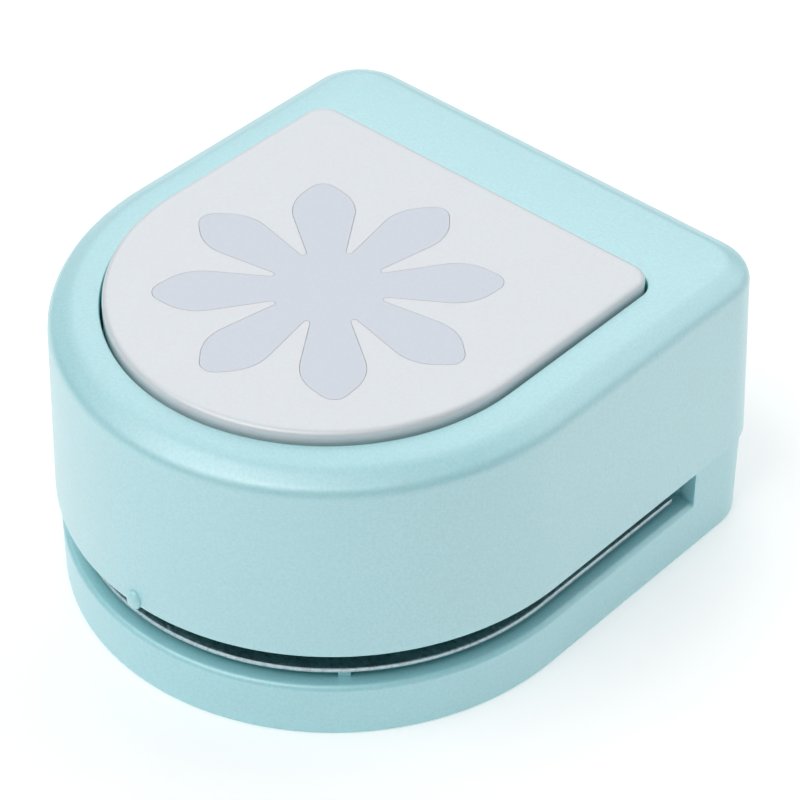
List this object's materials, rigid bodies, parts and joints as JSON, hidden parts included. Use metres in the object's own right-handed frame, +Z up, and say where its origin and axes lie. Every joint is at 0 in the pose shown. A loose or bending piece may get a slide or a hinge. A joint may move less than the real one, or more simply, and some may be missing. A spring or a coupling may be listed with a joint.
{
  "type": "craft punch",
  "caption": "Palm-pressed paper punch: a D-shaped body with a slot round the front and a sprung cap that cuts an eight-petal flower.",
  "frame": {"origin": "middle of the overall footprint, in the plane the punch stands on", "axes": "+Z up, along the press stroke reversed; -Y towards the rounded front with the paper slot; +Y towards the flat back; +X to the right seen from the front"},
  "size_m": [0.0742, 0.083, 0.0432],
  "materials": {
    "mint_plastic": "moulded, semi-gloss",
    "mint_base_plastic": "moulded, semi-gloss",
    "pale_grey_plastic": "moulded, satin",
    "lavender_plastic": "moulded, satin",
    "ground_steel": "ground",
    "hardened_steel": "hardened, ground",
    "zinc_plated_steel": "zinc plated",
    "spring_steel": "drawn wire"
  },
  "bodies": {
    "body": {"base_shell": "mint_base_plastic", "bottom_cover": "mint_base_plastic", "die_plate": "ground_steel", "guide_plate": "ground_steel", "rear_spacer": "ground_steel", "upper_housing": "mint_plastic", "guide_post_1": "zinc_plated_steel", "guide_post_2": "zinc_plated_steel", "guide_post_3": "zinc_plated_steel", "guide_post_4": "zinc_plated_steel", "return_spring_1": "spring_steel", "return_spring_2": "spring_steel", "return_spring_3": "spring_steel", "return_spring_4": "spring_steel", "base_screw_1": "zinc_plated_steel", "base_screw_2": "zinc_plated_steel", "base_screw_3": "zinc_plated_steel", "base_screw_4": "zinc_plated_steel", "plate_rivet_1": "zinc_plated_steel", "plate_rivet_2": "zinc_plated_steel"},
    "press": {"press_cap": "pale_grey_plastic", "flower_inlay": "lavender_plastic", "punch_holder": "ground_steel", "punch_blade": "hardened_steel", "cap_screw_1": "zinc_plated_steel", "cap_screw_2": "zinc_plated_steel", "cap_screw_3": "zinc_plated_steel", "cap_screw_4": "zinc_plated_steel"}
  },
  "joints": [
    {"name": "press_slide", "type": "slide", "parent": "body", "child": "press", "axis": [0, 0, -1], "range_m": [0, 0.0055], "stiffness_N_per_m": 3000, "springref_m": -0.004, "deforming": ["return_spring_1", "return_spring_2", "return_spring_3", "return_spring_4"]}
  ]
}
